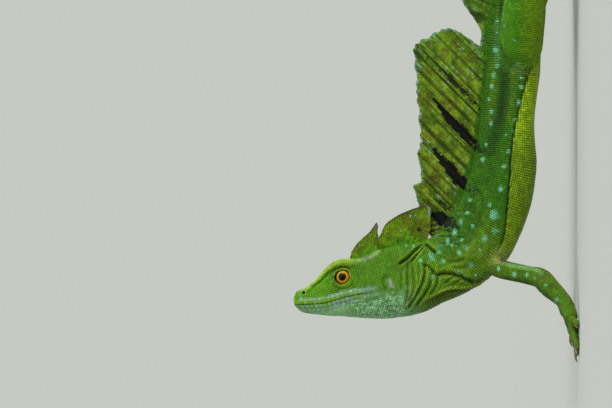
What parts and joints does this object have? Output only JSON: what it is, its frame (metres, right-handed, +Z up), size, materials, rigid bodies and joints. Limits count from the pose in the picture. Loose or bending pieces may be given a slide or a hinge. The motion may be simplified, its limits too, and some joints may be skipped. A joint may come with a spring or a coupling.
{
  "type": "green basilisk model",
  "caption": "Life-size green basilisk standing on the floor with raised neck, tall head crest, rayed sails on back and tail, and a long curved tail.",
  "frame": {"origin": "centre of the footprint, on the floor that the feet, hands and tail rest on", "axes": "-X towards the snout, +X along the tail, -Y the animal's left side, +Z up"},
  "size_m": [0.4192, 0.2277, 0.1409],
  "materials": {
    "skin": "satin",
    "crest": "satin",
    "jaw": "satin",
    "eye": "gloss",
    "claw": "satin"
  },
  "bodies": {
    "root": {"back_sail": "crest", "belly": "skin", "chest": "skin", "eye_left": "eye", "eye_right": "eye", "foot_left": "skin", "foot_right": "skin", "forearm_left": "skin", "forearm_right": "skin", "hand_left": "skin", "hand_right": "skin", "head": "skin", "head_crest_front": "crest", "head_crest_rear": "crest", "hips": "skin", "lower_jaw": "jaw", "neck": "skin", "shin_left": "skin", "shin_right": "skin", "tail_base": "skin", "tail_front": "skin", "tail_middle": "skin", "tail_rear": "skin", "tail_sail": "crest", "tail_tip": "skin", "thigh_left": "skin", "thigh_right": "skin", "upper_arm_left": "skin", "upper_arm_right": "skin"}
  },
  "joints": []
}
